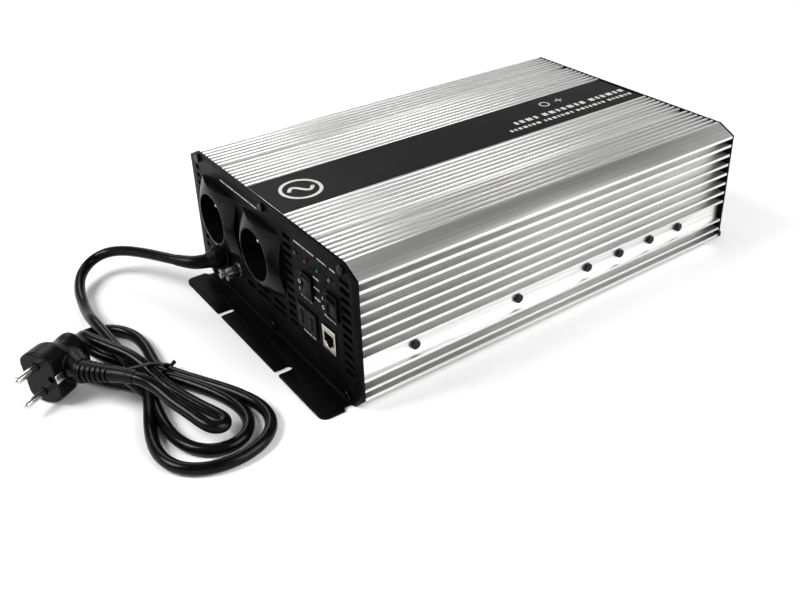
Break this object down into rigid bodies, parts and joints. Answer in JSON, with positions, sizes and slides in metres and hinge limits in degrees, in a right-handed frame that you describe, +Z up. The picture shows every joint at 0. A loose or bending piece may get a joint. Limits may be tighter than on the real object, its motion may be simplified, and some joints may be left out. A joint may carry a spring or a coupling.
{
  "type": "power inverter",
  "caption": "Mobile power inverter in a finned aluminium housing with mains sockets, rocker switches, data ports, cooling fans, battery studs and a tied mains lead with its plug.",
  "frame": {"origin": "middle of the housing footprint (over its two mounting flanges) on the surface it stands on", "axes": "+X to the right seen from the socket panel, -Y out of the socket panel, +Z up"},
  "size_m": [0.2871, 0.5582, 0.11],
  "materials": {
    "satin_aluminium": "satin brushed, clear anodised",
    "black_label": "matte film",
    "black_steel": "fine powder coat",
    "black_screw": "black oxide",
    "black_gloss": "polished",
    "black_matte": "moulded",
    "nickel": "nickel plated",
    "gold_contact": "gold flashed",
    "green_lens": "moulded lens",
    "red_lens": "moulded lens",
    "clear_lens": "moulded lens",
    "red_plastic": "moulded",
    "brass_post": "turned",
    "board_green": "solder mask",
    "ferrite": "wound",
    "black_cord": "glossy sheath"
  },
  "bodies": {
    "housing": {"left_side_extrusion": "satin_aluminium", "right_side_extrusion": "satin_aluminium", "top_cover": "satin_aluminium", "top_label": "black_label", "base_plate": "black_steel", "front_panel": "black_steel", "rear_panel": "black_steel", "left_side_screws": "black_screw", "right_side_screws": "black_screw", "front_panel_screws": "black_screw", "rear_panel_screws": "black_screw", "ac_socket_left": "black_gloss", "ac_socket_right": "black_gloss", "ac_socket_left_earth_pin": "nickel", "ac_socket_right_earth_pin": "nickel", "ac_socket_sleeves": "nickel", "switch_left_frame": "black_gloss", "switch_right_frame": "black_gloss", "status_light_1": "green_lens", "status_light_2": "red_lens", "status_light_3": "green_lens", "status_light_4": "clear_lens", "usb_module": "black_matte", "usb_shells": "nickel", "usb_tongues": "black_matte", "network_jack": "nickel", "network_jack_contacts": "gold_contact", "cord_gland": "black_matte", "cord_gland_nut": "black_matte", "earth_stud": "nickel", "earth_washer": "nickel", "earth_nut": "nickel", "earth_wing_nut": "nickel", "fan_left_frame": "black_matte", "fan_right_frame": "black_matte", "fan_left_guard": "nickel", "fan_right_guard": "nickel", "positive_terminal_base": "red_plastic", "negative_terminal_base": "black_gloss", "positive_terminal_stud": "nickel", "negative_terminal_stud": "nickel", "positive_terminal_nut": "nickel", "negative_terminal_nut": "nickel", "board_standoffs": "brass_post", "power_board": "board_green", "control_board": "board_green", "transformers": "ferrite", "bulk_capacitors": "black_matte", "output_choke": "ferrite", "cord_tube": "black_cord", "cord_bundle": "black_cord", "cord_tie": "black_matte", "plug_body": "black_cord", "plug_pins": "nickel", "plug_earth_clips": "nickel", "plug_sleeve": "black_cord"},
    "switch_left": {"switch_left_paddle": "black_matte"},
    "switch_right": {"switch_right_paddle": "black_matte"},
    "fan_left": {"fan_left_rotor": "black_matte"},
    "fan_right": {"fan_right_rotor": "black_matte"}
  },
  "joints": [
    {"name": "switch_left_tilt", "type": "hinge", "parent": "housing", "child": "switch_left", "pos_m": [0.058, -0.177, 0.07], "axis": [1, 0, 0], "range_deg": [-10, 10]},
    {"name": "switch_right_tilt", "type": "hinge", "parent": "housing", "child": "switch_right", "pos_m": [0.09, -0.177, 0.07], "axis": [1, 0, 0], "range_deg": [-20, 0]},
    {"name": "fan_left_spin", "type": "hinge", "parent": "housing", "child": "fan_left", "pos_m": [-0.07, 0.168, 0.055], "axis": [0, 1, 0], "continuous": true},
    {"name": "fan_right_spin", "type": "hinge", "parent": "housing", "child": "fan_right", "pos_m": [0.07, 0.168, 0.055], "axis": [0, 1, 0], "continuous": true}
  ]
}
